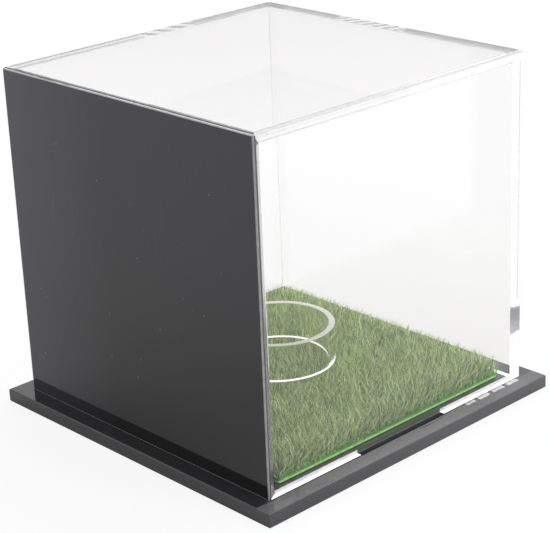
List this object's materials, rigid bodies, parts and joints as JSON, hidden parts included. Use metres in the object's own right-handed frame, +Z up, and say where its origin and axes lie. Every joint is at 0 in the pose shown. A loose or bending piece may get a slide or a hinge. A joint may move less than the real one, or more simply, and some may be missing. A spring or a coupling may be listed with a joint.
{
  "type": "golf ball display case",
  "caption": "Lift-off clear acrylic cover with a black back on a black base plate, with turf and a clear ring that seats one golf ball.",
  "frame": {"origin": "centre of the base plate's underside", "axes": "+Z up; the black back panel is at +Y, so the case is looked into from -Y; +X to the viewer's right"},
  "size_m": [0.11, 0.11, 0.1],
  "materials": {
    "black_plate": "polished black acrylic sheet",
    "black_acrylic": "polished black acrylic sheet",
    "clear_acrylic": "clear polished acrylic sheet with bonded mitred edges",
    "ring_acrylic": "clear acrylic tube with sawn and lightly polished ends",
    "turf_pile": "fine curled artificial grass blades in mixed greens",
    "turf_backing": "cut edge of a green turf backing",
    "tape": "white double-sided tape"
  },
  "bodies": {
    "base": {"base_plate": "black_plate", "turf_tape_left": "tape", "turf_tape_right": "tape", "turf_backing": "turf_backing", "turf_pile": "turf_pile"},
    "ring": {"ball_ring": "ring_acrylic"},
    "cover": {"front_panel": "clear_acrylic", "left_panel": "clear_acrylic", "right_panel": "clear_acrylic", "top_panel": "clear_acrylic", "back_panel": "black_acrylic"}
  },
  "joints": [
    {"name": "cover_lift", "type": "slide", "parent": "base", "child": "cover", "axis": [0, 0, 1], "range_m": [0, 0.12]},
    {"name": "ring_lift", "type": "slide", "parent": "base", "child": "ring", "axis": [0, 0, 1], "range_m": [0, 0.07]}
  ]
}
